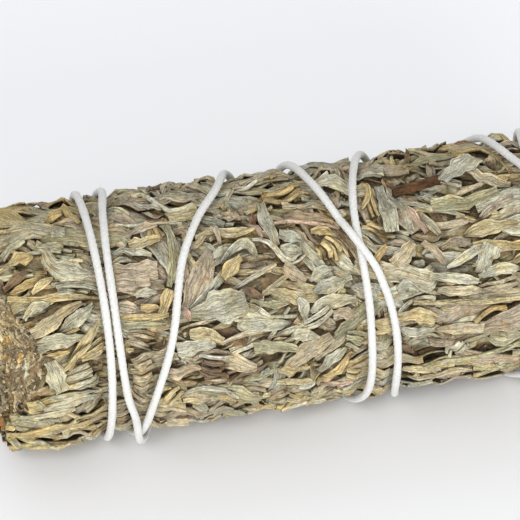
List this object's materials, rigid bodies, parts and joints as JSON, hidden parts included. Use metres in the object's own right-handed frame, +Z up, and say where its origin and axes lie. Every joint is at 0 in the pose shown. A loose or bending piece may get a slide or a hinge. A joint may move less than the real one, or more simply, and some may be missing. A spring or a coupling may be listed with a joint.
{
  "type": "dried sage bundle",
  "caption": "Thick roll of pressed dried sage leaves and stems lying on its side, bound along its length with criss-crossing white cotton string.",
  "frame": {"origin": "centre of the bounding box in plan, on the surface that the roll lies on", "axes": "+X along the roll, from the cut base towards the trimmed leaf tips; +Z up; the side with the open string crossing faces -Y"},
  "size_m": [0.107, 0.0405, 0.0371],
  "materials": {
    "leaf": "matte, felted dry leaf in grey-green, straw and brown",
    "cotton": "soft white twisted cotton",
    "twig_bark": "dark dry bark",
    "stem_wood": "sawn woody stem"
  },
  "bodies": {
    "root": {"sage_leaves": "leaf", "string": "cotton", "twig": "twig_bark", "stem_1": "stem_wood", "stem_2": "stem_wood", "stem_3": "stem_wood", "stem_4": "stem_wood", "stem_5": "stem_wood"}
  },
  "joints": []
}
